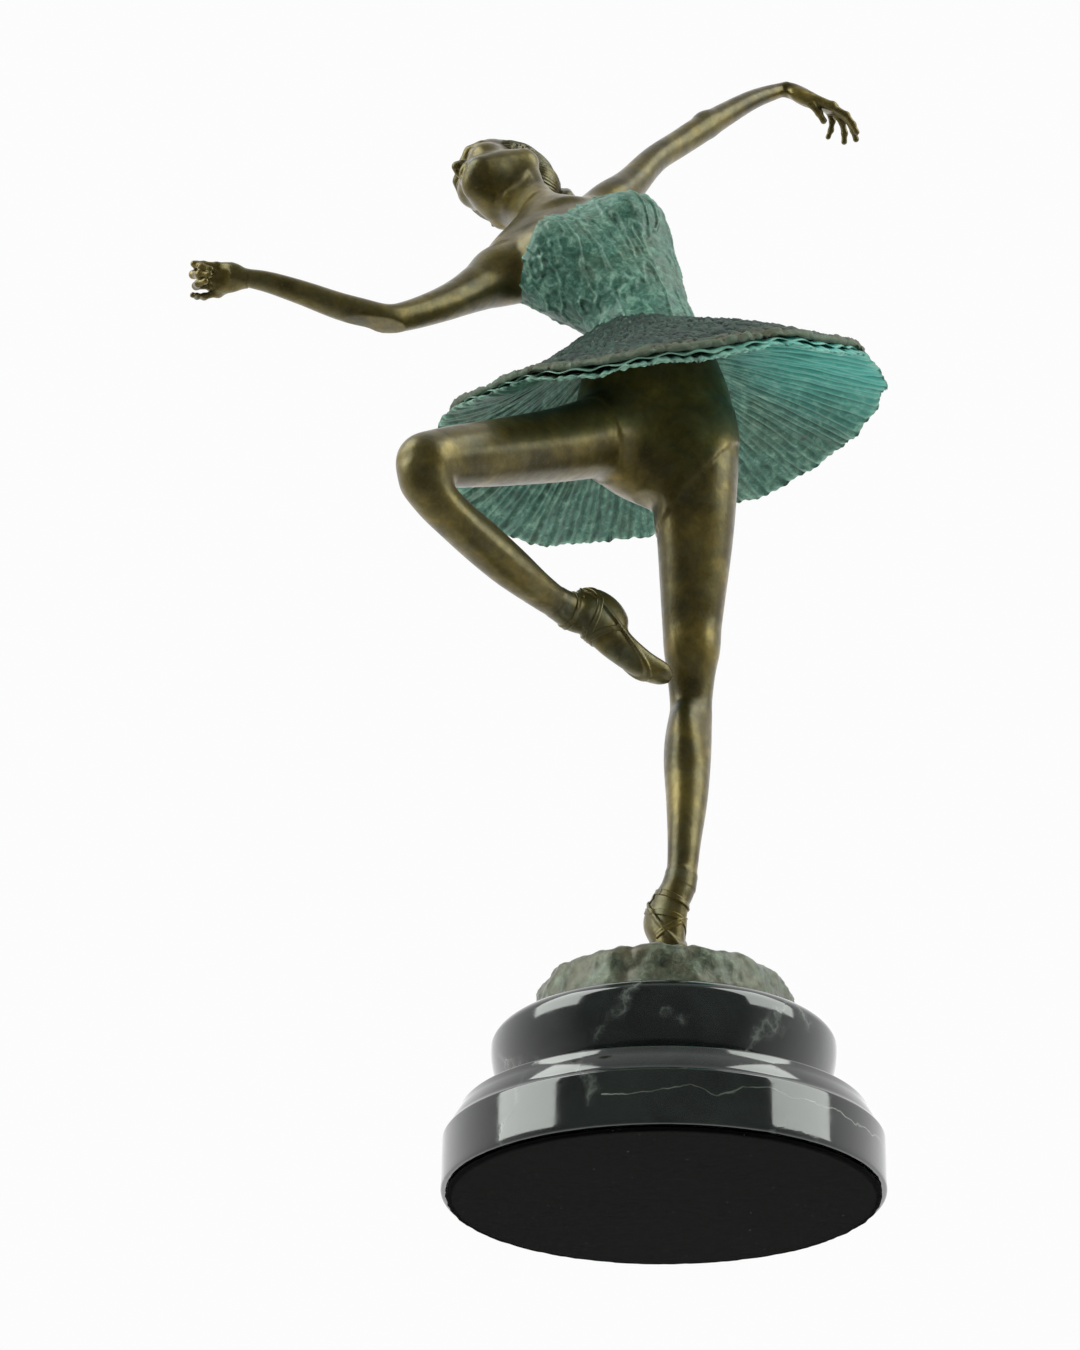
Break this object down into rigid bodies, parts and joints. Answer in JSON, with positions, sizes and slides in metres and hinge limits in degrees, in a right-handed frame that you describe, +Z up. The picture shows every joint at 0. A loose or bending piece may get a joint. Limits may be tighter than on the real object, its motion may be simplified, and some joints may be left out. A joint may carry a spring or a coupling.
{
  "type": "bronze ballerina statuette",
  "caption": "Patinated bronze ballet dancer on one pointe with a tutu and spread arms, on a turned round black marble base with a felt pad.",
  "frame": {"origin": "centre of the underside of the felt pad, where the base rests on a table", "axes": "+Z up; the dancer's pelvis faces -Y and her own left side is towards +X"},
  "size_m": [0.2079, 0.1476, 0.4166],
  "materials": {
    "bronze": "dark olive-brown cast bronze patina, waxed to a satin shine",
    "verdigris": "rough teal-green verdigris patina over cast bronze",
    "verdigris_dark": "rough dark grey-green verdigris patina over cast bronze",
    "hair_bronze": "green-tinted cast bronze patina",
    "ground_bronze": "rough grey-green cast bronze",
    "marble": "polished black marble with thin pale veins",
    "felt": "matte black felt",
    "steel": "plain steel"
  },
  "bodies": {
    "root": {"felt_pad": "felt", "marble_plinth": "marble", "marble_collar": "marble", "bronze_ground": "ground_bronze", "base_stud": "steel", "base_washer": "steel", "base_nut": "steel", "standing_slipper": "bronze", "standing_leg": "bronze", "raised_slipper": "bronze", "raised_leg": "bronze", "hips": "bronze", "bodice": "verdigris", "tutu_top": "verdigris_dark", "tutu_under": "verdigris", "right_arm": "bronze", "right_hand": "bronze", "left_arm": "bronze", "left_hand": "bronze", "head": "bronze", "hair_bun": "hair_bronze", "waist_dowel": "steel", "raised_hip_dowel": "steel", "standing_hip_dowel": "steel", "right_shoulder_dowel": "steel", "left_shoulder_dowel": "steel", "neck_dowel": "steel", "toe_dowel": "steel"}
  },
  "joints": []
}
